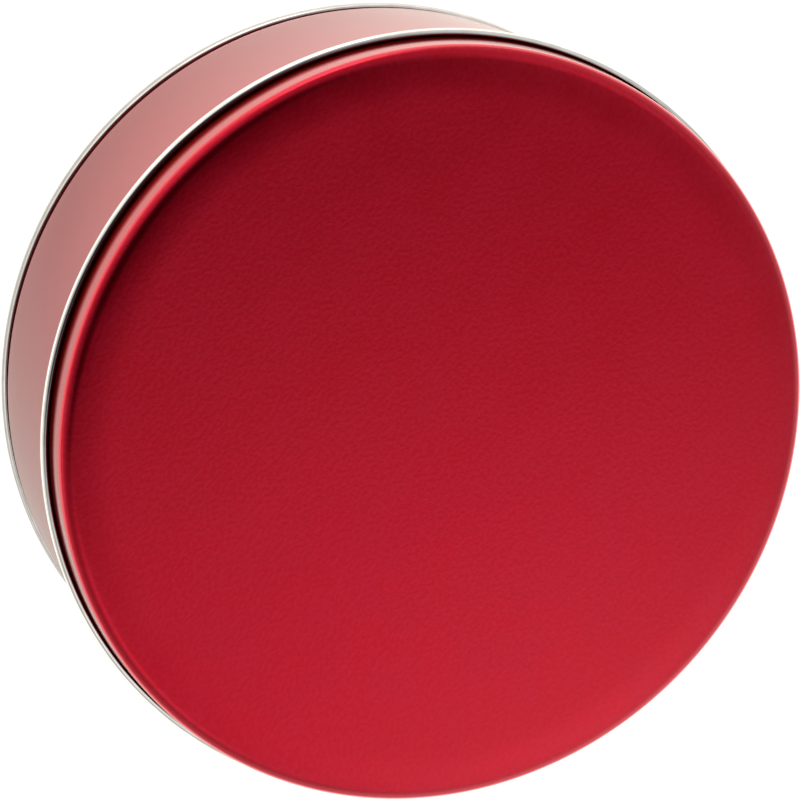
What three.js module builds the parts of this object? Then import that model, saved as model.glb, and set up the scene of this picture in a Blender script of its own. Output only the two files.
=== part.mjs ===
// A round slip-lid tin that holds one cake of bow rosin, as an assembly of separate pieces.
// Millimetres, +Z up. The tin stands on its bottom seam at z = 0, centred on the z axis.
// Every piece is a body of revolution, so each one is a profile of (radius, height) points turned on a lathe.
import * as THREE from 'three';

// Driving dimensions
const LID_RADIUS = 36.25;       // outside of the lid's skirt
const TIN_HEIGHT = 26;          // table to the top of the closed lid
const LID_DEPTH = 4.95;         // top of the lid to the lower edge of its curl
const SHEET = 0.2;              // tinplate
const CURL_RADIUS = 0.425;      // outside radius of the rolled lid edge
const SHOULDER_RADIUS = 1.3;    // outside radius between the lid's top and its skirt
const LID_FIT = 0.3;            // clearance between the lid's skirt and the tin's wall
const SEAM_PROUD = 0.35;        // how far the bottom seam stands out from the wall
const SEAM_HEIGHT = 1.2;
const LAYER_GAP = 0.04;         // between folded layers of sheet
const CAKE_RADIUS = 27.7;
const CAKE_HEIGHT = 15.6;

// Places worked out from them
const TURN_SEGMENTS = 48;
const ARC_STEP = Math.PI / 5;   // the largest turn between two points of a bend
const WALL_RADIUS = LID_RADIUS - SHEET - LID_FIT;
const LAYER_PITCH = SHEET + LAYER_GAP;
const SOFT_GAP = 0.05;          // between a pad or cloth and what it lies on

// Heights of the pieces inside, from the table up
const PANEL_TOP = 1.9;          // inside face of the bottom's raised centre
const BASE_PAD_TOP = PANEL_TOP + SOFT_GAP + 1;
const CLOTH_FLOOR = BASE_PAD_TOP + SOFT_GAP;
const CUP_FLOOR = CLOTH_FLOOR + 1 + SOFT_GAP;
const CUP_SHEET = 0.6;
const CUP_HEIGHT = 11;
const CAKE_FLOOR = CUP_FLOOR + CUP_SHEET + SOFT_GAP;

const point = (radius, height) => new THREE.Vector2(radius, height);

/** Points along a bend about (radius, height), from one angle to another in degrees. */
function bend(radius, height, size, fromDegrees, toDegrees) {
  const from = THREE.MathUtils.degToRad(fromDegrees);
  const sweep = THREE.MathUtils.degToRad(toDegrees) - from;
  const steps = Math.ceil(Math.abs(sweep) / ARC_STEP);
  return Array.from({ length: steps + 1 }, (_, i) => {
    const angle = from + (sweep * i) / steps;
    return point(radius + size * Math.cos(angle), height + size * Math.sin(angle));
  });
}

/** One side of a sheet: its centre line moved sideways by an offset, with mitred corners. */
function offsetLine(centreLine, offset) {
  const last = centreLine.length - 1;
  return centreLine.map((here, i) => {
    const before = here.clone().sub(centreLine[Math.max(i - 1, 0)]);
    const after = centreLine[Math.min(i + 1, last)].clone().sub(here);
    const first = (i === 0 ? after : before).normalize();
    const second = (i === last ? before : after).normalize();
    const along = first.clone().add(second).normalize();
    const mitre = offset / along.dot(first);
    return point(here.x - along.y * mitre, here.y + along.x * mitre);
  });
}

/** The outline of a bent sheet of one thickness. A sheet that starts on the axis is a drawn disc; any other is a ring. */
function sheetOutline(centreLine, thickness) {
  const outline = [
    ...offsetLine(centreLine, -thickness / 2),
    ...offsetLine(centreLine, thickness / 2).reverse(),
  ];
  const isDisc = centreLine[0].x === 0;
  return isDisc ? outline : [...outline, outline[0].clone()];
}

/** A named piece turned about the z axis. An outline runs counter-clockwise as seen with the axis on its left. */
function turned(name, outline, material) {
  const geometry = new THREE.LatheGeometry(outline, TURN_SEGMENTS);
  const piece = new THREE.Mesh(geometry, new THREE.MeshStandardMaterial(material));
  piece.name = name;
  piece.rotation.x = Math.PI / 2;   // the lathe turns about y, and the tin's axis is z
  return piece;
}

const RED_ENAMEL = { color: 0xa3172b, roughness: 0.38, metalness: 0.7 };
const BARE_TINPLATE = { color: 0xd9d6cf, roughness: 0.3, metalness: 1 };
const FELT = { color: 0x2a2626, roughness: 0.95, metalness: 0 };
const VELVET = { color: 0x4a0c1a, roughness: 0.9, metalness: 0 };
const SPUN_ALUMINIUM = { color: 0xcfd1d4, roughness: 0.35, metalness: 1 };
const ROSIN = { color: 0xb5651d, roughness: 0.12, metalness: 0 };

/** The drawn lid: flat top, rounded shoulder, short skirt, and an edge rolled outwards into a curl. */
function lidShell() {
  const skirt = LID_RADIUS - SHEET / 2;
  const shoulder = SHOULDER_RADIUS - SHEET / 2;
  const top = TIN_HEIGHT - SHEET / 2;
  const curl = CURL_RADIUS - SHEET / 2;
  const curlHeight = TIN_HEIGHT - LID_DEPTH + CURL_RADIUS;
  const curlEndDegrees = 468;   // past the top of the curl, so that the raw edge faces the skirt
  const centreLine = [
    point(0, top),
    ...bend(skirt - shoulder, top - shoulder, shoulder, 90, 0),
    ...bend(skirt + curl, curlHeight, curl, 180, curlEndDegrees),
  ];
  return turned('lid_shell', sheetOutline(centreLine, SHEET), RED_ENAMEL);
}

/** The rolled wall: a rim hemmed inwards, a straight side, a slight neck, and the hook inside the bottom seam. */
function bodyWall() {
  const side = WALL_RADIUS - SHEET / 2;
  const hem = 0.4;
  const rimHeight = TIN_HEIGHT - SHEET - 0.5;
  const hook = seamLayers();
  const centreLine = [
    ...bend(side - hem, rimHeight - SHEET / 2 - hem, hem, 270, 0),
    point(side, SEAM_HEIGHT + 0.5),
    point(hook.bodyWall, SEAM_HEIGHT + 0.15),
    ...bend(hook.endHook, SHEET / 2 + 2 * LAYER_PITCH, LAYER_PITCH, 180, 360),
    point(hook.bodyHook, SEAM_HEIGHT - SHEET / 2 - LAYER_PITCH - LAYER_GAP),
  ];
  return turned('body_wall', sheetOutline(centreLine, SHEET), RED_ENAMEL);
}

/** Centre-line radii of the five layers of sheet in the bottom seam, from the inside out. */
function seamLayers() {
  const outermost = WALL_RADIUS + SEAM_PROUD - SHEET / 2;
  const [chuckWall, bodyWallLayer, endHook, bodyHook, seamingWall] =
    [4, 3, 2, 1, 0].map((layer) => outermost - layer * LAYER_PITCH);
  return { chuckWall, bodyWall: bodyWallLayer, endHook, bodyHook, seamingWall };
}

/** The stamped bottom: a raised centre, a countersink, and a rim folded over the wall's hook. */
function bottomEnd() {
  const layers = seamLayers();
  const centre = PANEL_TOP - SHEET / 2;
  const stepRadius = 30.5;
  const stepRun = 0.8;
  const shelf = centre - 0.5;
  const corner = 0.3;
  const fold = SEAM_HEIGHT - SHEET / 2 - LAYER_PITCH;
  const hookEnd = SHEET / 2 + 2 * LAYER_PITCH + LAYER_GAP + 0.06;
  const centreLine = [
    point(0, centre),
    point(stepRadius, centre),
    point(stepRadius + stepRun, shelf),
    ...bend(layers.chuckWall - corner, shelf - corner, corner, 90, 0),
    ...bend(layers.chuckWall + corner, SHEET / 2 + corner, corner, 180, 270),
    ...bend(layers.seamingWall - corner, SHEET / 2 + corner, corner, 270, 360),
    ...bend(layers.bodyHook, fold, LAYER_PITCH, 0, 180),
    point(layers.endHook, hookEnd),
  ];
  return turned('bottom_end', sheetOutline(centreLine, SHEET), BARE_TINPLATE);
}

/** A flat round pad between two heights. */
function pad(name, radius, floor, top, material) {
  return turned(name, [point(0, floor), point(radius, floor), point(radius, top), point(0, top)], material);
}

/** The felt disc glued to the raised centre of the bottom. */
function basePad() {
  return pad('base_pad', 29, PANEL_TOP + SOFT_GAP, BASE_PAD_TOP, FELT);
}

/** The soft disc glued inside the lid, which keeps the cake from rattling. */
function lidPad() {
  const top = TIN_HEIGHT - SHEET - SOFT_GAP;
  return pad('lid_pad', 33.6, top - 3.2, top, FELT);
}

/** The cloth glued under the cup and gathered up round it, as the space that its folds fill. */
function wrapCloth() {
  const outer = 34.1;
  const inner = CAKE_RADIUS + CUP_SHEET + 0.6;
  const rim = CLOTH_FLOOR + 16;
  const ease = 1;
  const outline = [
    point(0, CLOTH_FLOOR),
    point(outer - ease, CLOTH_FLOOR),
    point(outer, CLOTH_FLOOR + ease),
    point(outer, rim - ease),
    point(outer - ease, rim),
    point(inner + ease, rim),
    point(inner, rim - ease),
    point(inner, CLOTH_FLOOR + 1),
    point(0, CLOTH_FLOOR + 1),
  ];
  return turned('wrap_cloth', outline, VELVET);
}

/** The spun cup that the rosin is cast into. */
function rosinCup() {
  const side = CAKE_RADIUS + SOFT_GAP + CUP_SHEET / 2;
  const floor = CUP_FLOOR + CUP_SHEET / 2;
  const corner = 1.2;
  const centreLine = [
    point(0, floor),
    ...bend(side - corner, floor + corner, corner, -90, 0),
    point(side, CUP_FLOOR + CUP_HEIGHT),
  ];
  return turned('rosin_cup', sheetOutline(centreLine, CUP_SHEET), SPUN_ALUMINIUM);
}

/** The cast cake of rosin, standing proud of its cup. */
function rosinCake() {
  const floorCorner = 1.3;
  const topCorner = 1.2;
  const top = CAKE_FLOOR + CAKE_HEIGHT;
  const outline = [
    point(0, CAKE_FLOOR),
    ...bend(CAKE_RADIUS - floorCorner, CAKE_FLOOR + floorCorner, floorCorner, -90, 0),
    ...bend(CAKE_RADIUS - topCorner, top - topCorner, topCorner, 0, 90),
    point(0, top),
  ];
  return turned('rosin_cake', outline, ROSIN);
}

const tin = new THREE.Group();
tin.add(bodyWall(), bottomEnd(), basePad());

const cake = new THREE.Group();
cake.add(wrapCloth(), rosinCup(), rosinCake());

const lid = new THREE.Group();
lid.add(lidShell(), lidPad());

const rosinTin = new THREE.Group();
rosinTin.add(tin, cake, lid);

export default rosinTin;
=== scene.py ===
"""Looks of a round slip-lid tin that holds a cake of bow rosin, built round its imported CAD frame."""

import math

import bpy
import numpy as np
from mathutils import Matrix, Vector, noise

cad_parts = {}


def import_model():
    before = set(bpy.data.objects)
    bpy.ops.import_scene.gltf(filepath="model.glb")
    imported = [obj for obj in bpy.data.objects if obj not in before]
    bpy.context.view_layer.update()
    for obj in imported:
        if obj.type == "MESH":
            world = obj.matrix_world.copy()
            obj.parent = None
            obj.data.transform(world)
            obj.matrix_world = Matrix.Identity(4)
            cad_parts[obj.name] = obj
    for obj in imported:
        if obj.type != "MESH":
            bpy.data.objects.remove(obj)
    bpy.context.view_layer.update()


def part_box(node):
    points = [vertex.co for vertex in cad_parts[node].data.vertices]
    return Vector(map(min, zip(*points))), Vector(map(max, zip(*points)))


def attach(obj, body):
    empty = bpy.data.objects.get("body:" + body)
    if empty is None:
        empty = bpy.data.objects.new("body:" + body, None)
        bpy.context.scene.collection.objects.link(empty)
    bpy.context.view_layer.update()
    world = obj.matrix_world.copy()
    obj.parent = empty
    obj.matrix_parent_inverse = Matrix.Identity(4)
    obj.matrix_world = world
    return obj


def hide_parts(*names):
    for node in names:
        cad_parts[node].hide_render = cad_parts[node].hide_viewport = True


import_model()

# ---------------------------------------------------------------- sizes, in metres
MM = 0.001
SHEET = 0.2 * MM            # tinplate
CURL_RADIUS = 0.425 * MM    # outside radius of the rolled lid edge
HEM_RADIUS = 0.5 * MM       # outside radius of the wall's rolled rim
SEAM_HEIGHT = 1.2 * MM
LAYER_PITCH = SHEET + 0.04 * MM  # of the folded layers in the bottom seam

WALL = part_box("body_wall")[1]
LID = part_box("lid_shell")[1]
LID_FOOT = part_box("lid_shell")[0].z
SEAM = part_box("bottom_end")[1]

WELD_ANGLE = math.radians(150)  # where the wall's two ends are lapped and welded
WELD_LAP = 0.6 * MM
WELD_STEP = 0.07 * MM       # how far the lap stands out
WELD_MARGIN = 1.3 * MM      # bare metal each side of the weld
ROSIN_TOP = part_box("rosin_cake")[1].z
TRACK_ANGLE = math.radians(35)  # the bow's track lies square to this direction
TRACK_WIDTH = 6 * MM

TURN_STEPS = 288
BEND_STEP = 7.5             # degrees between two points of a bend
SHARP_ANGLE = math.radians(35)
ON_AXIS = 1e-9              # a radius below this is a point on the axis


# ---------------------------------------------------------------- turned sheet metal
def bend(radius, height, size, start, end, step=BEND_STEP):
    """Points along a bend about (radius, height), from one angle to another in degrees."""
    count = max(2, math.ceil(abs(end - start) / step))
    angles = np.radians(np.linspace(start, end, count + 1))
    return [(radius + size * math.cos(a), height + size * math.sin(a)) for a in angles]


def straight(start, end, count):
    """Points from start to end, both included."""
    return [tuple(p) for p in np.linspace(start, end, count + 1)]


def offset_line(line, offset):
    """A centre line moved sideways by an offset, with mitred corners."""
    points = np.array(line, float)
    runs = np.diff(points, axis=0)
    runs /= np.linalg.norm(runs, axis=1)[:, None]
    first = np.vstack([runs[:1], runs])
    second = np.vstack([runs, runs[-1:]])
    along = first + second
    along /= np.linalg.norm(along, axis=1)[:, None]
    mitre = offset / np.sum(along * first, axis=1)
    return points + np.stack([-along[:, 1], along[:, 0]], axis=1) * mitre[:, None]


def sheet_outline(line, thickness, outside, inside):
    """Outline of a bent sheet, and the material of each of its runs: one for each face of the sheet."""
    right = offset_line(line, -thickness / 2)
    left = offset_line(line, thickness / 2)[::-1]
    outline = [tuple(p) for p in right] + [tuple(p) for p in left]
    runs = [inside] * (len(right) - 1) + [inside] + [outside] * (len(left) - 1) + [inside]
    return outline, runs


def turned(name, outline, runs, materials, angles=None, reshape=None):
    """A closed mesh turned about the z axis from an outline of (radius, height) points."""
    if angles is None:
        angles = np.linspace(0, math.tau, TURN_STEPS, endpoint=False)
    vertices, rings = [], []
    for radius, height in outline:
        if radius < ON_AXIS:
            rings.append([len(vertices)])
            vertices.append((0.0, 0.0, height))
            continue
        rings.append(list(range(len(vertices), len(vertices) + len(angles))))
        for angle in angles:
            r, z = (radius, height) if reshape is None else reshape(radius, height, angle)
            vertices.append((r * math.cos(angle), r * math.sin(angle), z))
    faces, slots = [], []
    is_open = outline[0][0] < ON_AXIS
    count = len(outline) - 1 if is_open else len(outline)
    for j in range(count):
        low, high = rings[j], rings[(j + 1) % len(rings)]
        if len(low) == 1 and len(high) == 1:
            continue
        for i in range(len(angles)):
            k = (i + 1) % len(angles)
            if len(low) == 1:
                face = (low[0], high[k], high[i])
            elif len(high) == 1:
                face = (low[i], low[k], high[0])
            else:
                face = (low[i], low[k], high[k], high[i])
            faces.append(face)
            slots.append(runs[j])
    mesh = bpy.data.meshes.new(name)
    mesh.from_pydata(vertices, [], faces)
    for material in materials:
        mesh.materials.append(material)
    mesh.polygons.foreach_set("material_index", slots)
    mesh.shade_smooth()
    mesh.set_sharp_from_angle(angle=SHARP_ANGLE)
    mesh.validate()
    piece = bpy.data.objects.new(name, mesh)
    bpy.context.scene.collection.objects.link(piece)
    return piece


def stand_for(piece, node, body):
    """Shows a piece in place of a CAD node."""
    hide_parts(node)
    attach(piece, body)
    return piece


# ---------------------------------------------------------------- materials
class Nodes:
    """Short forms for building a material's nodes."""

    def __init__(self, tree):
        self.tree = tree

    def add(self, kind, inputs=None, **settings):
        node = self.tree.nodes.new(kind)
        for key, value in settings.items():
            setattr(node, key, value)
        for key, value in (inputs or {}).items():
            self.feed(node, key, value)
        return node

    def feed(self, node, key, value):
        socket = node.inputs[key]
        if isinstance(value, bpy.types.NodeSocket):
            self.tree.links.new(value, socket)
        else:
            socket.default_value = value

    def maths(self, operation, *values):
        node = self.add("ShaderNodeMath", operation=operation)
        for i, value in enumerate(values):
            self.feed(node, i, value)
        return node.outputs[0]

    def product(self, first, *others):
        for other in others:
            first = self.maths("MULTIPLY", first, other)
        return first

    def remainder(self, share):
        return self.maths("SUBTRACT", 1.0, share)

    def span(self, value, low, high, to_low, to_high):
        """A value carried from one range to another, held at the ends."""
        inputs = {"From Min": low, "From Max": high, "To Min": to_low, "To Max": to_high, "Value": value}
        return self.add("ShaderNodeMapRange", inputs).outputs["Result"]

    def noise(self, where, size, detail=2.0, roughness=0.5):
        """Noise whose features are about size metres across."""
        inputs = {"Vector": where, "Scale": 1 / size, "Detail": detail, "Roughness": roughness}
        return self.add("ShaderNodeTexNoise", inputs).outputs["Fac"]

    def scaled(self, where, scale, rotation=(0, 0, 0)):
        """Coordinates turned and scaled, so that what is drawn in them is stretched."""
        inputs = {"Vector": where, "Rotation": rotation, "Scale": scale}
        return self.add("ShaderNodeMapping", inputs).outputs[0]

    def vectors(self, operation, first, second):
        """The number that an operation makes of two vectors."""
        node = self.add("ShaderNodeVectorMath", {0: first, 1: second}, operation=operation)
        return node.outputs["Value"]

    def blend(self, share, first, second):
        """A number between two numbers."""
        return self.maths("MULTIPLY_ADD", share, self.maths("SUBTRACT", second, first), first)

    def mix(self, share, first, second):
        """A colour between two colours."""
        node = self.add("ShaderNodeMix", data_type="RGBA")
        for key, value in ((0, share), (6, first), (7, second)):
            self.feed(node, key, value)
        return node.outputs[2]

    def bump(self, height, distance, normal=None, strength=1.0):
        inputs = {"Height": height, "Distance": distance, "Strength": strength}
        if normal is not None:
            inputs["Normal"] = normal
        return self.add("ShaderNodeBump", inputs).outputs["Normal"]


RED_DEEP = (0.56, 0.0014, 0.017, 1)
RED_BRIGHT = (0.58, 0.0050, 0.028, 1)
# The next two colours are painted shade: dark red at the foot of the lid's skirt over its curl, maroon in
# the wall's neck.
LID_SHADE_RED = (0.24, 0.0030, 0.0080, 1)
SEAM_SHADE_MAROON = (0.07, 0.0010, 0.0020, 1)
TIN_DULL = (0.80, 0.77, 0.73, 1)
TIN_BRIGHT = (0.90, 0.88, 0.84, 1)
WELD_GREY = (0.34, 0.33, 0.34, 1)
ALUMINIUM_DULL = (0.60, 0.60, 0.60, 1)
ALUMINIUM_BRIGHT = (0.74, 0.75, 0.76, 1)
WOOL_DEEP = (0.020, 0.019, 0.020, 1)
WOOL_RAISED = (0.085, 0.079, 0.080, 1)
LINT = (0.16, 0.15, 0.15, 1)
VELVET_DEEP = (0.018, 0.0010, 0.0035, 1)
VELVET_TIPS = (0.110, 0.006, 0.020, 1)
VELVET_LAID_SHEEN = (0.15, 0.011, 0.032, 1)
VELVET_SHEEN = (0.75, 0.16, 0.26, 1)
AMBER_FACE = (0.98, 0.80, 0.46, 1)
AMBER_DEPTH = (0.97, 0.70, 0.10, 1)
POWDER_WHITE = (0.90, 0.83, 0.68, 1)
FLOOR_PALE = (0.80, 0.77, 0.71, 1)
FLOOR_SEEN = (0.8, 0.8, 0.8, 1)
WARM_WHITE = (1, 0.96, 0.88, 1)
WHITE = (1, 1, 1, 1)

PEEL_SIZE = 0.42 * MM       # of the bumps in the lacquer
PEEL_DEPTH = 0.006 * MM
PAINTED_SHADE_STRENGTH = 0.95                # how far the painted shade hides the lacquer in a groove
# Heights below which a groove is full of painted shade and above which it has none, and the shade's colour.
# On the lid it paints the curl's dark reflection on the skirt's foot.
LID_GROOVE_SHADE = (LID_FOOT + 2.1 * MM, LID_FOOT + 3.0 * MM, LID_SHADE_RED)
SEAM_GROOVE_SHADE = (SEAM_HEIGHT + 0.7 * MM, SEAM_HEIGHT + 1.0 * MM, SEAM_SHADE_MAROON)


def new_material(name):
    """An empty node material, its node helper, its main shader and the object's own coordinates."""
    material = bpy.data.materials.new(name)
    material.use_nodes = True
    tree = material.node_tree
    tree.nodes.clear()
    nodes = Nodes(tree)
    shader = nodes.add("ShaderNodeBsdfPrincipled")
    output = nodes.add("ShaderNodeOutputMaterial", {"Surface": shader.outputs[0]})
    where = nodes.add("ShaderNodeTexCoord").outputs["Object"]
    return material, nodes, shader, where, output


def set_shader(nodes, shader, values):
    for key, value in values.items():
        nodes.feed(shader, key, value)


def round_place(nodes, where, drawn_out):
    """Coordinates that follow the turning: along the turn (stretched by drawn_out), radius, height."""
    split = nodes.add("ShaderNodeSeparateXYZ", {"Vector": where}).outputs
    squares = [nodes.product(split[axis], split[axis]) for axis in "XY"]
    radius = nodes.maths("SQRT", nodes.maths("ADD", *squares))
    angle = nodes.maths("ARCTAN2", split["Y"], split["X"])
    along = nodes.maths("MULTIPLY", angle, WALL.x / drawn_out)
    parts = {"X": along, "Y": radius, "Z": split["Z"]}
    return nodes.add("ShaderNodeCombineXYZ", parts).outputs[0], angle, split["Z"]


def weld_distance(nodes, where, angle):
    """Distance round the wall from the weld, made uneven so that the lacquer's edge is ragged."""
    ragged = nodes.span(nodes.noise(where, 0.8 * MM), 0.3, 0.7, -0.1 * MM, 0.1 * MM)
    off_weld = nodes.maths("ABSOLUTE", nodes.maths("SUBTRACT", angle, WELD_ANGLE))
    return nodes.maths("ADD", nodes.product(off_weld, WALL.x), ragged)


def slide_marks(nodes, where, place, height):
    """Fine upright lines, in patches, that the lid has rubbed into the lacquer below its edge."""
    lines = nodes.noise(nodes.scaled(place, (1, 1, 0.03)), 0.12 * MM, 3.0)
    patches = nodes.noise(where, 7 * MM)
    reach = nodes.span(height, LID_FOOT + 0.3 * MM, LID_FOOT + 2 * MM, 0, 0.35)
    where_rubbed = nodes.span(patches, 0.45, 0.7, 0, 1)
    return nodes.product(nodes.span(lines, 0.62, 0.70, 0, 1), where_rubbed, reach)


def red_enamel(name, groove, on_wall=False):
    """Satin red lacquer over bright tin, with a fine orange peel and a coat that pales it at low angles.

    Painted shade darkens its groove. On the wall the lacquer stops short of the weld and has slide marks."""
    material, nodes, shader, where, _ = new_material(name)
    place, angle, height = round_place(nodes, where, 1)
    peel = nodes.noise(where, PEEL_SIZE, 1.5, 0.45)
    blotch = nodes.noise(where, 5 * MM, 3.0)
    wavy = nodes.bump(nodes.noise(where, 9 * MM, 1.0), 0.01 * MM)
    speckle = nodes.maths("MULTIPLY_ADD", peel, 0.7, nodes.product(blotch, 0.3))
    colour = nodes.mix(nodes.span(speckle, 0.4, 0.6, 0, 1), RED_DEEP, RED_BRIGHT)
    facing = nodes.add("ShaderNodeLayerWeight", {"Blend": 0.5}).outputs["Facing"]
    coat = nodes.span(facing, 0.10, 0.35, 0.27, 1.0)
    if on_wall:
        distance = weld_distance(nodes, where, angle)
        lacquered = nodes.span(distance, WELD_MARGIN - 0.05 * MM, WELD_MARGIN + 0.05 * MM, 0, 1)
        rubbed = slide_marks(nodes, where, place, height)
        worn = nodes.maths("MAXIMUM", rubbed, nodes.remainder(lacquered))
        fused = nodes.span(distance, 0.6 * WELD_LAP, 0.8 * WELD_LAP, 1, 0)
        colour = nodes.mix(worn, colour, nodes.mix(fused, TIN_DULL, WELD_GREY))
        coat = nodes.product(coat, nodes.remainder(worn))
    # Painted shade: below the groove's heights the colour and specular tint turn to the shade colour and
    # the coat fades.
    full_below, none_above, shade = groove
    painted_shade = nodes.span(height, full_below, none_above, PAINTED_SHADE_STRENGTH, 0)
    set_shader(nodes, shader, {
        "Base Color": nodes.mix(painted_shade, colour, shade),
        "Metallic": 1.0,
        "Specular Tint": nodes.mix(painted_shade, WHITE, shade),
        "Roughness": nodes.span(blotch, 0.3, 0.7, 0.23, 0.26),
        "Normal": nodes.bump(peel, PEEL_DEPTH, wavy),
        "Coat Weight": nodes.product(coat, nodes.remainder(painted_shade)),
        "Coat Roughness": 0.12,
        "Coat IOR": 1.5,
        "Coat Normal": nodes.bump(peel, PEEL_DEPTH, wavy),
    })
    return material


def bare_tinplate():
    """Bright tin with a faint grain that runs round the tin, and a dull bloom in patches."""
    material, nodes, shader, where, _ = new_material("bare_tinplate")
    place, _, _ = round_place(nodes, where, 33)
    grain = nodes.noise(place, 0.08 * MM, 3.0)
    bloom = nodes.noise(where, 1.6 * MM, 3.0)
    set_shader(nodes, shader, {
        "Base Color": nodes.mix(nodes.span(bloom, 0.35, 0.65, 0, 1), TIN_DULL, TIN_BRIGHT),
        "Metallic": 1.0,
        "Roughness": nodes.span(grain, 0.3, 0.7, 0.08, 0.16),
        "Normal": nodes.bump(grain, 0.001 * MM),
    })
    return material


def spun_aluminium():
    """Aluminium with the close rings that the spinning tool leaves, and stray handling scratches."""
    material, nodes, shader, where, _ = new_material("spun_aluminium")
    place, _, _ = round_place(nodes, where, 60)
    rings = nodes.noise(place, 0.12 * MM, 4.0, 0.6)
    broad = nodes.noise(place, 0.7 * MM, 1.0)
    smears = nodes.span(nodes.noise(where, 6 * MM, 4.0), 0.35, 0.65, 0, 1)
    scratch = nodes.noise(nodes.scaled(where, (1, 0.02, 1), (0.5, 0.3, 0.9)), 0.15 * MM, 2.0)
    marks = nodes.span(scratch, 0.68, 0.72, 0, 0.3)
    set_shader(nodes, shader, {
        "Base Color": nodes.mix(smears, ALUMINIUM_DULL, ALUMINIUM_BRIGHT),
        "Metallic": 1.0,
        "Roughness": nodes.maths("ADD", nodes.span(rings, 0.3, 0.7, 0.2, 0.36), marks),
        "Anisotropic": 0.5,
        "Normal": nodes.bump(broad, 0.008 * MM, nodes.bump(rings, 0.004 * MM)),
    })
    return material


def felt():
    """Pressed grey felt: matted fibres in several directions, with pale lint among them."""
    material, nodes, shader, where, _ = new_material("felt")
    mat = None
    for turn in (0.2, 1.25, 2.4):
        fibres = nodes.noise(nodes.scaled(where, (1, 0.16, 1), (0.2, 0.1, turn)), 0.11 * MM, 2.0, 0.6)
        mat = fibres if mat is None else nodes.maths("MAXIMUM", mat, fibres)
    clumps = nodes.noise(where, 1.5 * MM, 3.0)
    tangle = nodes.maths("ADD", mat, nodes.product(clumps, 0.5))
    lint = nodes.span(mat, 0.70, 0.76, 0, 0.6)
    wool = nodes.mix(nodes.span(tangle, 0.7, 1.05, 0, 1), WOOL_DEEP, WOOL_RAISED)
    set_shader(nodes, shader, {
        "Base Color": nodes.mix(lint, wool, LINT),
        "Roughness": 0.95,
        "Sheen Weight": 0.35,
        "Sheen Roughness": 0.5,
        "Specular IOR Level": 0.2,
        "Normal": nodes.bump(tangle, 0.12 * MM),
    })
    return material


def velvet():
    """Wine-red velvet: a fine upright pile, crushed in patches, that lights up at its edges."""
    material, nodes, shader, where, _ = new_material("velvet")
    pile = nodes.noise(where, 0.22 * MM, 4.0, 0.75)
    crushed = nodes.noise(where, 3.5 * MM, 2.0)
    # Painted sheen: the crushed patches are painted lighter, besides getting more sheen.
    lie = nodes.span(crushed, 0.35, 0.65, 0, 0.4)
    upright = nodes.mix(nodes.span(pile, 0.35, 0.65, 0, 1), VELVET_DEEP, VELVET_TIPS)
    set_shader(nodes, shader, {
        "Base Color": nodes.mix(lie, upright, VELVET_LAID_SHEEN),
        "Roughness": 0.9,
        "Specular IOR Level": 0.15,
        "Sheen Weight": nodes.span(crushed, 0.35, 0.65, 0.5, 1.0),
        "Sheen Roughness": 0.35,
        "Sheen Tint": VELVET_SHEEN,
        "Normal": nodes.bump(crushed, 0.25 * MM, nodes.bump(pile, 0.14 * MM)),
    })
    return material


def bow_track(nodes, where):
    """Strength of the powdered track that the bow leaves across the rosin's top, with a wandering edge."""
    split = nodes.add("ShaderNodeSeparateXYZ", {"Vector": where}).outputs
    along_x = nodes.product(split["X"], math.cos(TRACK_ANGLE))
    along_y = nodes.product(split["Y"], math.sin(TRACK_ANGLE))
    across = nodes.maths("ABSOLUTE", nodes.maths("ADD", along_x, along_y))
    drift = nodes.maths("SUBTRACT", across, 0.6 * TRACK_WIDTH)
    wander = nodes.noise(where, 7 * MM, 3.0, 0.6)
    wandering = nodes.maths("MULTIPLY_ADD", wander, 1.2 * TRACK_WIDTH, drift)
    on_top = nodes.span(split["Z"], ROSIN_TOP - 0.9 * MM, ROSIN_TOP - 0.5 * MM, 0, 1)
    return nodes.product(nodes.span(wandering, 0.2 * TRACK_WIDTH, 1.6 * TRACK_WIDTH, 1, 0), on_top)


def rosin():
    """Clear amber rosin with flow lines in its face, and scored white powder in the bow's track."""
    material, nodes, shader, where, output = new_material("rosin")
    scored = nodes.noise(nodes.scaled(where, (1, 0.04, 1), (0, 0, -TRACK_ANGLE)), 0.25 * MM, 4.0, 0.65)
    powder = nodes.noise(where, 1.2 * MM, 4.0, 0.65)
    caught = nodes.span(nodes.maths("ADD", scored, powder), 0.7, 1.3, 0.0, 1.0)
    dust = nodes.product(caught, bow_track(nodes, where))
    haze = nodes.span(powder, 0.4, 0.7, 0.0, 0.06)
    white = nodes.maths("MAXIMUM", dust, haze)
    scores = nodes.bump(scored, nodes.product(dust, 0.10 * MM))
    set_shader(nodes, shader, {
        "Base Color": nodes.mix(white, AMBER_FACE, POWDER_WHITE),
        "Roughness": nodes.span(white, 0, 0.6, 0.07, 0.6),
        "IOR": 1.54,
        "Transmission Weight": nodes.span(white, 0, 1, 1.0, 0.25),
        "Normal": nodes.bump(nodes.noise(where, 5 * MM, 2.0), 0.10 * MM, scores),
    })
    amber = nodes.add("ShaderNodeVolumeAbsorption", {"Color": AMBER_DEPTH, "Density": 70})
    nodes.feed(output, "Volume", amber.outputs[0])
    return material


# Both enamels carry painted shade in their grooves: the lid's over its curl, the wall's in its neck.
RED = red_enamel("red_enamel", LID_GROOVE_SHADE)
WALL_RED = red_enamel("wall_enamel", SEAM_GROOVE_SHADE, on_wall=True)
TIN = bare_tinplate()
ALUMINIUM = spun_aluminium()
FELT = felt()
VELVET = velvet()
ROSIN = rosin()


# ---------------------------------------------------------------- the tin
# The lid's shoulder as arcs from level to upright: radius, last angle in degrees, and steps.
SHOULDER_ARCS = ((45 * MM, 86, 4), (1.7 * MM, 55, 6), (0.7 * MM, 0, 10))
DRAFT = 0.2 * MM            # the skirt is this much narrower at its top


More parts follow.
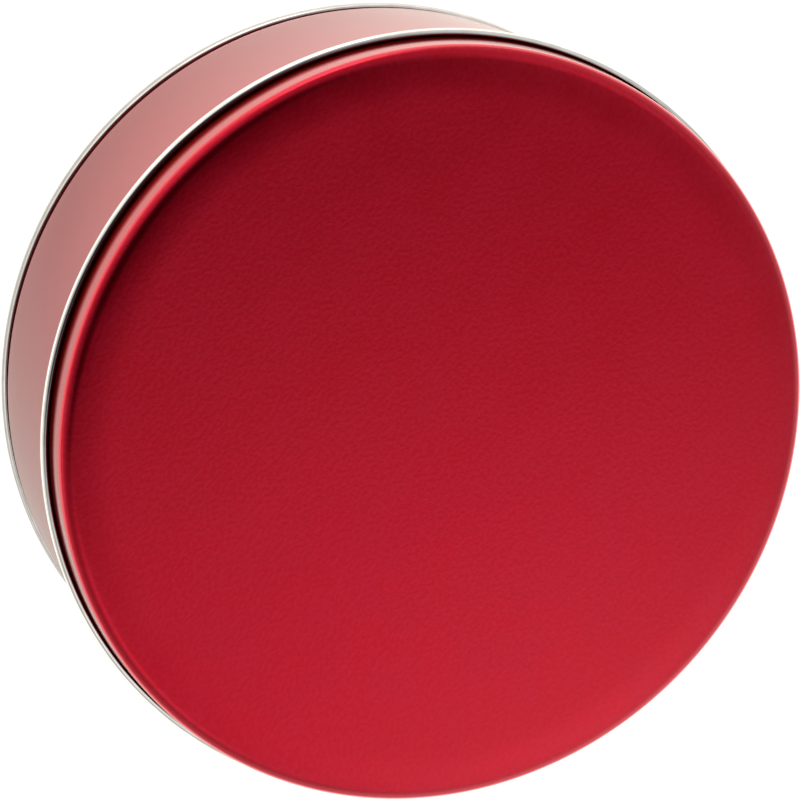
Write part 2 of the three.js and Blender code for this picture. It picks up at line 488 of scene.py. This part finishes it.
def shoulder_line(reach, height):
    """The arcs of the shoulder one after another, from a height to a reach."""
    line = [(0.0, 0.0)]
    start = 90
    for size, end, steps in SHOULDER_ARCS:
        turn = math.radians(start)
        centre = line[-1][0] - size * math.cos(turn), line[-1][1] - size * math.sin(turn)
        line += bend(*centre, size, start, end, abs(end - start) / steps)[1:]
        start = end
    return [(reach + r - line[-1][0], height + h) for r, h in line]


def lid_shell():
    """The drawn lid, red outside and bare inside, its edge rolled outwards so that bare metal shows."""
    skirt = LID.x - 2 * CURL_RADIUS + SHEET / 2
    top = LID.z - SHEET / 2
    curl = CURL_RADIUS - SHEET / 2
    shoulder = shoulder_line(skirt - DRAFT, top)
    line = [
        (0.0, top),
        *straight((6 * MM, top), (shoulder[0][0] - 1 * MM, top), 5),
        *shoulder,
        *bend(skirt + curl, LID_FOOT + CURL_RADIUS, curl, 180, 468),
    ]
    outline, runs = sheet_outline(line, SHEET, outside=0, inside=1)
    piece = turned("lid_shell_skin", outline, runs, (RED, TIN))
    return stand_for(piece, "lid_shell", "lid")


def seam_layers():
    """Centre-line radii of the five layers of sheet in the bottom seam, from the inside out."""
    outermost = SEAM.x - SHEET / 2
    return [outermost - layer * LAYER_PITCH for layer in (4, 3, 2, 1, 0)]


def weld_angles():
    """Directions round the wall: even ones, with close ones over the weld's lap."""
    close = WELD_ANGLE + np.linspace(-1, 1, 13) * WELD_LAP / WALL.x
    even = np.linspace(0, math.tau, TURN_STEPS, endpoint=False)
    clear = np.abs(even - WELD_ANGLE) > 1.3 * WELD_LAP / WALL.x
    return np.sort(np.concatenate([even[clear], close]))


def lapped(radius, height, angle):
    """The wall swells where its ends lap, except in the hem and the seam, where they are notched."""
    off = abs(angle - WELD_ANGLE) * WALL.x
    share = min(1, max(0, (0.75 * WELD_LAP - off) / (0.2 * WELD_LAP)))
    plain = SEAM_HEIGHT + 0.6 * MM < height < WALL.z - 1.2 * MM
    return (radius + WELD_STEP * share if plain else radius), height


def body_wall():
    """The rolled wall: rim hemmed inwards, straight side, slight neck, hook inside the seam."""
    _, wall_layer, end_hook, body_hook, _ = seam_layers()
    side = WALL.x - SHEET / 2
    hem = HEM_RADIUS - SHEET / 2
    turn_height = SHEET / 2 + 2 * LAYER_PITCH
    neck = SEAM_HEIGHT + 1.0 * MM
    line = [
        *bend(side - hem, WALL.z - HEM_RADIUS, hem, 270, 0),
        *straight((side, WALL.z - 2 * MM), (side, neck + 0.3 * MM), 6),
        *bend(side - 0.3 * MM, neck, 0.3 * MM, 0, -50, 12.5),
        *bend(wall_layer + 0.2 * MM, neck - 0.6 * MM, 0.2 * MM, 130, 180, 25),
        (wall_layer, SEAM_HEIGHT - 0.1 * MM),
        *bend(end_hook, turn_height, LAYER_PITCH, 180, 360, 20),
        (body_hook, SEAM_HEIGHT - 0.48 * MM),
    ]
    outline, runs = sheet_outline(line, SHEET, outside=0, inside=1)
    piece = turned("body_wall_skin", outline, runs, (WALL_RED, TIN), weld_angles(), lapped)
    return stand_for(piece, "body_wall", "tin")


def bottom_end():
    """The stamped bottom, bare on both faces, folded over the wall's hook."""
    chuck_wall, _, end_hook, body_hook, seaming_wall = seam_layers()
    centre = SEAM.z - SHEET / 2
    step = 30.5 * MM
    shelf = centre - 0.5 * MM
    corner = 0.3 * MM
    fold = SEAM_HEIGHT - SHEET / 2 - LAYER_PITCH
    line = [
        (0.0, centre),
        *straight((5 * MM, centre), (step, centre), 4),
        (step + 0.8 * MM, shelf),
        *bend(chuck_wall - corner, shelf - corner, corner, 90, 0, 15),
        *bend(chuck_wall + corner, SHEET / 2 + corner, corner, 180, 270, 15),
        *bend(seaming_wall - corner, SHEET / 2 + corner, corner, 270, 360, 10),
        *bend(body_hook, fold, LAYER_PITCH, 0, 180, 12),
        (end_hook, SHEET / 2 + 2 * LAYER_PITCH + 0.1 * MM),
    ]
    outline, runs = sheet_outline(line, SHEET, outside=0, inside=0)
    piece = turned("bottom_end_skin", outline, runs, (TIN,))
    return stand_for(piece, "bottom_end", "tin")


# ---------------------------------------------------------------- what is inside
def uneven(x, y, z, size):
    """Smooth noise from about -1 to 1, with features about size metres across."""
    return noise.noise(Vector((x, y, z)) / size)


def felt_pad(node, body):
    """A disc of felt: soft edges cut a little out of round, and a lumpy face."""
    low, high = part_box(node)
    radius = high.x
    edge = 0.35 * (high.z - low.z)
    outline = [
        (0.0, low.z),
        *straight((3 * MM, low.z), (radius - edge - 1 * MM, low.z), 12),
        *bend(radius - edge, low.z + edge, edge, -90, 0, 30),
        *bend(radius - edge, high.z - edge, edge, 0, 90, 30),
        *straight((radius - edge - 1 * MM, high.z), (3 * MM, high.z), 12),
        (0.0, high.z),
    ]

    def lumpy(r, z, angle):
        x, y = r * math.cos(angle), r * math.sin(angle)
        ragged = 0.18 * MM * uneven(x, y, z, 2.5 * MM) + 0.15 * MM * uneven(x, y, 0, 9 * MM)
        lift = 0.07 * MM * uneven(x, y, z, 3 * MM)
        return r + ragged * (r / radius) ** 12, z + lift

    piece = turned(f"{node}_felt", outline, [0] * len(outline), (FELT,), reshape=lumpy)
    return stand_for(piece, node, body)


CLOTH = 0.7 * MM            # thickness of the velvet
CLOTH_RADIUS = 45.2 * MM    # of the flat round cloth
FLAT_RADIUS = 27.6 * MM     # of the part of it that lies under the cup
CLOTH_CORNER = 2.6 * MM
PLEATS = 17
PLEAT_DEPTH = 2.1 * MM
GATHER_START = 1 * MM       # past the flat part, along the cloth
GATHER_LENGTH = 9 * MM      # over which the pleats grow to their full depth
# How the pleats drift round the cup: size, waves in a turn and phase.
PLEAT_DRIFTS = ((0.9, 2, 1.3), (0.7, 3, 0.4), (0.35, 5, 2.0))


def pleated(along, angle, floor, middle):
    """Where a point of the flat cloth lies once the cloth is gathered up: radius, direction and height."""
    if along <= FLAT_RADIUS:
        return along, angle, floor
    past = along - FLAT_RADIUS
    turn = min(past / CLOTH_CORNER, math.pi / 2)
    climb = past - turn * CLOTH_CORNER
    radius = FLAT_RADIUS + CLOTH_CORNER * math.sin(turn)
    height = floor + CLOTH_CORNER * (1 - math.cos(turn)) + climb
    gathered = min(1, max(0, (past - GATHER_START) / GATHER_LENGTH))
    gathered *= gathered * (3 - 2 * gathered)
    drift = sum(size * math.sin(waves * angle + phase) for size, waves, phase in PLEAT_DRIFTS)
    lean = 0.3 * math.sin(4 * angle + 1.0) * climb / (8 * MM)
    phase = PLEATS * angle + drift + lean
    depth = PLEAT_DEPTH * gathered * (0.85 + 0.15 * math.sin(4 * angle + 0.7))
    bulge = 0.35 * MM * gathered * math.sin(2 * phase + 3 * angle)
    pinch = -0.45 / PLEATS * gathered * math.sin(2 * phase)
    radius += (middle - radius) * gathered + depth * math.sin(phase) + bulge
    return radius, angle + pinch, height + 0.5 * MM * gathered * math.sin(3 * angle + 2.0)


def wrap_cloth():
    """A round velvet cloth gathered up round the cup in pleats, its edge pinked."""
    low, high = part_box("wrap_cloth")
    floor = low.z + CLOTH / 2
    middle = (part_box("rosin_cup")[1].x + high.x) / 2 + 0.25 * MM
    flat = np.linspace(4 * MM, FLAT_RADIUS, 8)
    raised = np.arange(FLAT_RADIUS + 0.6 * MM, CLOTH_RADIUS, 0.6 * MM)
    rows = [*flat, *raised]
    vertices = [(0.0, 0.0, floor)]
    for along in rows:
        for i in range(TURN_STEPS):
            radius, angle, height = pleated(along, math.tau * i / TURN_STEPS, floor, middle)
            if along == rows[-1]:
                height += 0.5 * MM * (1, 0, -1, 0)[i % 4]
            x, y = radius * math.cos(angle), radius * math.sin(angle)
            if along > FLAT_RADIUS:
                height += 0.15 * MM * uneven(x, y, height, 4 * MM)
            vertices.append((x, y, height))
    faces = [(0, 1 + i, 1 + (i + 1) % TURN_STEPS) for i in range(TURN_STEPS)]
    for row in range(len(rows) - 1):
        inner = 1 + row * TURN_STEPS
        for i in range(TURN_STEPS):
            j = (i + 1) % TURN_STEPS
            faces.append((inner + i, inner + TURN_STEPS + i, inner + TURN_STEPS + j, inner + j))
    mesh = bpy.data.meshes.new("wrap_cloth_velvet")
    mesh.from_pydata(vertices, [], faces)
    mesh.materials.append(VELVET)
    mesh.shade_smooth()
    piece = bpy.data.objects.new("wrap_cloth_velvet", mesh)
    bpy.context.scene.collection.objects.link(piece)
    thicken = piece.modifiers.new("thickness", "SOLIDIFY")
    thicken.thickness = CLOTH
    thicken.offset = 0
    return stand_for(piece, "wrap_cloth", "cake")


def rosin_cup():
    """The spun cup: rounded foot, a raised bead round its side, and a rounded lip."""
    low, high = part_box("rosin_cup")
    sheet = 0.6 * MM
    foot = 1.5 * MM
    inner = high.x - sheet
    bead = low.z + 0.72 * (high.z - low.z)
    outline = [
        (0.0, low.z),
        *straight((3 * MM, low.z), (high.x - foot - 1 * MM, low.z), 6),
        *bend(high.x - foot, low.z + foot, foot, -90, 0),
        *bend(high.x - 0.25 * MM, bead, 0.55 * MM, -63, 63, 10),
        *bend(high.x - sheet / 2, high.z - sheet / 2, sheet / 2, 0, 180, 20),
        *bend(inner - foot + sheet, low.z + foot, foot - sheet, 0, -90),
        (0.0, low.z + sheet),
    ]
    piece = turned("rosin_cup_spun", outline, [0] * len(outline), (ALUMINIUM,))
    return stand_for(piece, "rosin_cup", "cake")


CHIPS = 9


def rosin_cake():
    """The cast rosin: a dished top worn by the bow, and small shell-shaped chips out of its rim."""
    low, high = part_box("rosin_cake")
    radius = high.x
    foot, rim = 1.3 * MM, 0.9 * MM
    outline = [
        (0.0, low.z),
        *straight((3 * MM, low.z), (radius - foot - 1 * MM, low.z), 6),
        *bend(radius - foot, low.z + foot, foot, -90, 0, 15),
        *straight((radius, low.z + 2 * foot), (radius, high.z - rim - 2.5 * MM), 8),
        *straight((radius, high.z - rim - 2.2 * MM), (radius, high.z - rim - 0.2 * MM), 10),
        *bend(radius - rim, high.z - rim, rim, 0, 90, 9),
        *straight((radius - rim - 0.2 * MM, high.z), (radius - rim - 3 * MM, high.z), 12),
        *straight((radius - rim - 3.6 * MM, high.z), (1.5 * MM, high.z), 28),
        (0.0, high.z),
    ]
    rng = np.random.default_rng(7)
    balls = []
    for turn in np.sort(rng.uniform(0, math.tau, CHIPS)):
        size = rng.uniform(0.9, 2.6) * MM
        out = radius - rim + 0.75 * size * rng.uniform(0.8, 1.1)
        height = high.z + rng.uniform(0.25, 0.5) * size
        balls.append((Vector((out * math.cos(turn), out * math.sin(turn), height)), size))

    def worn(r, z, angle):
        point = Vector((r * math.cos(angle), r * math.sin(angle), z))
        on_top = max(0, 1 - (high.z - z) / (2 * MM))
        across = abs(point.x * math.cos(TRACK_ANGLE) + point.y * math.sin(TRACK_ANGLE))
        dish = 0.25 * MM * (1 - (r / radius) ** 2)
        track = 0.35 * MM * math.exp(-((across / TRACK_WIDTH) ** 2))
        point.z -= on_top * (dish + track + 0.05 * MM * uneven(point.x, point.y, 0, 6 * MM))
        for centre, size in balls:
            away = point - centre
            reach = size * (1 + 0.12 * uneven(point.x, point.y, point.z, 0.5 * MM))
            if away.length < reach:
                point = centre + away.normalized() * reach
                point.z = min(point.z, high.z)
        return math.hypot(point.x, point.y), point.z

    angles = np.linspace(0, math.tau, 3 * TURN_STEPS, endpoint=False)
    piece = turned("rosin_cake_cast", outline, [0] * len(outline), (ROSIN,), angles, worn)
    return stand_for(piece, "rosin_cake", "cake")


lid_shell()
body_wall()
bottom_end()
felt_pad("base_pad", "tin")
wrap_cloth()
rosin_cup()
rosin_cake()
felt_pad("lid_pad", "lid")


# ---------------------------------------------------------------- floor, light and camera
FLOOR_REACH = 3.0           # from the middle to each side
SHADE_CENTRE = (10 * MM, 0, 0)  # the middle of the painted shadow round the tin, where the floor glows less
SEEN_GLOW = 0.72            # the glow that the camera sees, all over the floor


def floor():
    """A pale floor that glows away from the tin: the glow is painted light, and its weak part round the tin
    is a painted shadow. The camera sees it even.
    """
    mesh = bpy.data.meshes.new("floor")
    corners = [(FLOOR_REACH * x, FLOOR_REACH * y, 0) for x, y in ((-1, -1), (1, -1), (1, 1), (-1, 1))]
    mesh.from_pydata(corners, [], [(0, 1, 2, 3)])
    piece = bpy.data.objects.new("floor", mesh)
    bpy.context.scene.collection.objects.link(piece)
    material, nodes, shader, where, _ = new_material("floor")
    seen = nodes.add("ShaderNodeLightPath").outputs["Is Camera Ray"]
    away = nodes.vectors("DISTANCE", where, SHADE_CENTRE)
    # Painted shadow and light: the floor glows weakly near the tin and fully farther out, in warm white,
    # lighting the tin and showing in its reflections.
    painted_glow = nodes.span(away, 37 * MM, 60 * MM, 0.27, 1.05)
    set_shader(nodes, shader, {
        "Base Color": nodes.mix(seen, FLOOR_PALE, FLOOR_SEEN),
        "Roughness": nodes.span(nodes.noise(where, 40 * MM), 0.3, 0.7, 0.85, 0.95),
        "Specular IOR Level": 0.0,
        "Emission Color": nodes.mix(seen, WARM_WHITE, WHITE),
        "Emission Strength": nodes.blend(seen, painted_glow, SEEN_GLOW),
    })
    mesh.materials.append(material)
    return piece


def camera():
    """A long lens high above the tin, aimed at its middle and rolled, so that the lid leans right."""
    # These began as a least-squares fit to the photo's outline, and were then retuned.
    elevation = math.radians(65.95)
    roll = math.radians(129.54)
    distance = 305.6 * MM
    aim = Vector((0.18, -0.23, 13.5)) * MM
    back = Vector((0, -math.cos(elevation), math.sin(elevation)))
    data = bpy.data.cameras.new("camera")
    data.sensor_width = 36
    data.lens = 144.2
    data.clip_start = 0.01
    seat = bpy.data.objects.new("camera", data)
    tilt = Matrix.Rotation(math.pi / 2 - elevation, 4, "X")
    seat.matrix_world = Matrix.Translation(aim + back * distance) @ tilt @ Matrix.Rotation(roll, 4, "Z")
    bpy.context.scene.collection.objects.link(seat)
    bpy.context.scene.camera = seat


WALL_LIGHT = 0.35           # doubled near the ground
LEAST_LIGHT = 0.02
# Elevation and direction in degrees (0 is the camera's side, 90 is -X, 180 is behind), sharpness, strength.
# They began as the rounded result of another program, a least-squares fit of renders to the photo, and
# were then moved, rescaled and added to by hand. The last one is a black flag above the camera.
SOFTBOXES = (
    (48, 190, 30, 0.4),
    (58, 186, 120, 0.62),
    (66, 190, 120, 0.42),
    (60, 120, 30, 0.42),
    (60, 240, 30, 0.9),
    (25, 190, 8, 0.4),
    (28, 10, 14, 0.7),
    (40, 90, 10, 0.3),
    (8, 42, 40, 3.0),
    (25, 300, 30, 0.45),
    (68, 345, 14, -0.4),
)


def world():
    """A studio with pale walls, a dark ceiling and softboxes. The camera itself sees plain white."""
    sky = bpy.data.worlds.new("studio")
    bpy.context.scene.world = sky
    sky.use_nodes = True
    sky.node_tree.nodes.clear()
    nodes = Nodes(sky.node_tree)
    direction = nodes.add("ShaderNodeTexCoord").outputs["Generated"]
    height = nodes.add("ShaderNodeSeparateXYZ", {"Vector": direction}).outputs["Z"]
    walls = nodes.span(height, 0.8, 0.95, WALL_LIGHT, 0)
    light = nodes.maths("ADD", walls, nodes.span(height, 0.3, 0.6, WALL_LIGHT, 0))
    for elevation, azimuth, sharpness, strength in SOFTBOXES:
        up = math.radians(elevation)
        about = math.radians(azimuth)
        middle = (-math.sin(about) * math.cos(up), -math.cos(about) * math.cos(up), math.sin(up))
        near = nodes.vectors("DOT_PRODUCT", direction, middle)
        fall = nodes.maths("EXPONENT", nodes.product(nodes.maths("SUBTRACT", near, 1.0), sharpness))
        light = nodes.maths("MULTIPLY_ADD", fall, strength, light)
    light = nodes.maths("MAXIMUM", light, LEAST_LIGHT)
    seen = nodes.add("ShaderNodeLightPath").outputs["Is Camera Ray"]
    level = nodes.blend(seen, light, 1.0)
    background = nodes.add("ShaderNodeBackground", {"Color": WHITE, "Strength": level})
    nodes.add("ShaderNodeOutputWorld", {"Surface": background.outputs[0]})


floor()
world()
camera()
bpy.context.scene.view_settings.view_transform = "Standard"
